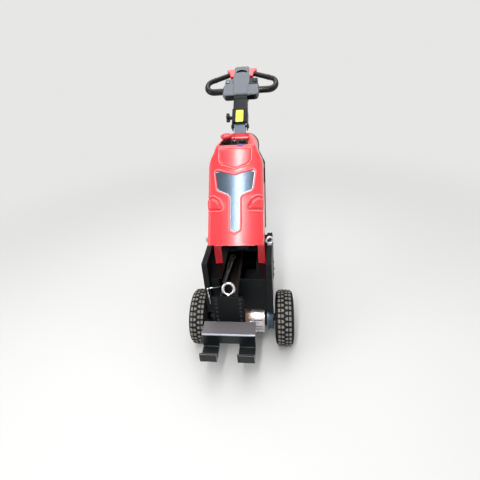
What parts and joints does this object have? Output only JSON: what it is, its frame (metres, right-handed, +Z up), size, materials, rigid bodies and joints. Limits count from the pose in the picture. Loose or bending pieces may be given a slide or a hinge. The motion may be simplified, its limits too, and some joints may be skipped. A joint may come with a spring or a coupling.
{
  "type": "walk-behind electric tow tug",
  "caption": "Walk-behind electric tug: steel frame on two drive wheels and two casters, red leaning cover, tilting tiller head, front hitch plate with hooks.",
  "frame": {"origin": "on the floor, under the middle of the machine's box", "axes": "+Z up, -Y to the hitch end, +Y to the operator, +X to the right as seen from the hitch end"},
  "size_m": [0.496, 1.0756, 1.2225],
  "materials": {
    "red_cover": "moulded plastic, glossy red",
    "red_plastic": "moulded plastic, red",
    "silver_film": "silver film, slightly blue",
    "black_plastic": "black moulded plastic",
    "grey_plastic": "dark grey moulded plastic",
    "button_grey": "grey push buttons",
    "handle_black": "black coated tube",
    "tyre": "rubber with block tread",
    "orange_tread": "orange-brown polyurethane",
    "cast_aluminium": "cast, sand finish",
    "bright_steel": "bright zinc plated",
    "wire": "steel wire",
    "copper": "copper-coloured cap",
    "bare_steel": "dark steel with browned edges",
    "grey_cast": "blue-grey cast metal",
    "rim_black": "black rim with bright ring",
    "battery": "battery case",
    "motor_black": "black motor case",
    "black_steel": "black powder coat, fine texture"
  },
  "bodies": {
    "frame": {"side_plate_left": "black_steel", "side_plate_right": "black_steel", "deck_panel": "black_steel", "rear_panel": "black_steel", "rear_beam": "black_steel", "axle_brackets": "black_steel", "axle_tube": "grey_cast", "gear_housing": "cast_aluminium", "brake_drum": "grey_cast", "stub_axles": "bright_steel", "drive_motor": "motor_black", "draw_arm": "bare_steel", "arm_beam": "black_steel", "hitch_plate": "black_steel", "hook_bracket": "black_steel", "tow_ring": "bright_steel", "hitch_lever": "bare_steel", "lanyard": "wire", "lanyard_pin": "bright_steel", "cover": "red_cover", "cover_inlay": "silver_film", "control_panel": "black_plastic", "emergency_stop": "red_plastic", "back_plate": "black_steel", "battery_pack": "battery", "tiller_post": "black_steel", "eye_bolts": "bright_steel", "caster_plates": "black_steel", "caster_locks": "copper"},
    "tiller": {"tiller_sleeve": "black_steel", "pivot_bolt": "bright_steel", "clamp_knob": "black_plastic", "head_housing": "grey_plastic", "head_base": "black_plastic", "head_pads": "black_plastic", "handles": "handle_black", "paddles": "red_plastic", "head_buttons": "button_grey", "indicator": "black_plastic"},
    "drive_wheel_left": {"tyre_left": "tyre", "rim_left": "rim_black"},
    "drive_wheel_right": {"tyre_right": "tyre", "rim_right": "rim_black"},
    "caster_fork_left": {"caster_fork_left": "black_steel"},
    "caster_fork_right": {"caster_fork_right": "black_steel"},
    "caster_wheel_left": {"caster_wheel_left": "orange_tread"},
    "caster_wheel_right": {"caster_wheel_right": "orange_tread"}
  },
  "joints": [
    {"name": "tiller_tilt", "type": "hinge", "parent": "frame", "child": "tiller", "pos_m": [0, 0.19887, 0.96438], "axis": [1, 0, 0], "range_deg": [-20, 35]},
    {"name": "drive_wheel_left_spin", "type": "hinge", "parent": "frame", "child": "drive_wheel_left", "pos_m": [-0.204, -0.26377, 0.133], "axis": [1, 0, 0], "continuous": true},
    {"name": "caster_swivel_left", "type": "hinge", "parent": "frame", "child": "caster_fork_left", "pos_m": [-0.108, 0.07023, 0.134], "axis": [0, 0, 1], "continuous": true},
    {"name": "caster_wheel_left_spin", "type": "hinge", "parent": "caster_fork_left", "child": "caster_wheel_left", "pos_m": [-0.108, 0.10223, 0.05], "axis": [1, 0, 0], "continuous": true},
    {"name": "drive_wheel_right_spin", "type": "hinge", "parent": "frame", "child": "drive_wheel_right", "pos_m": [0.204, -0.26377, 0.133], "axis": [1, 0, 0], "continuous": true},
    {"name": "caster_swivel_right", "type": "hinge", "parent": "frame", "child": "caster_fork_right", "pos_m": [0.108, 0.07023, 0.134], "axis": [0, 0, 1], "continuous": true},
    {"name": "caster_wheel_right_spin", "type": "hinge", "parent": "caster_fork_right", "child": "caster_wheel_right", "pos_m": [0.108, 0.10223, 0.05], "axis": [1, 0, 0], "continuous": true}
  ]
}
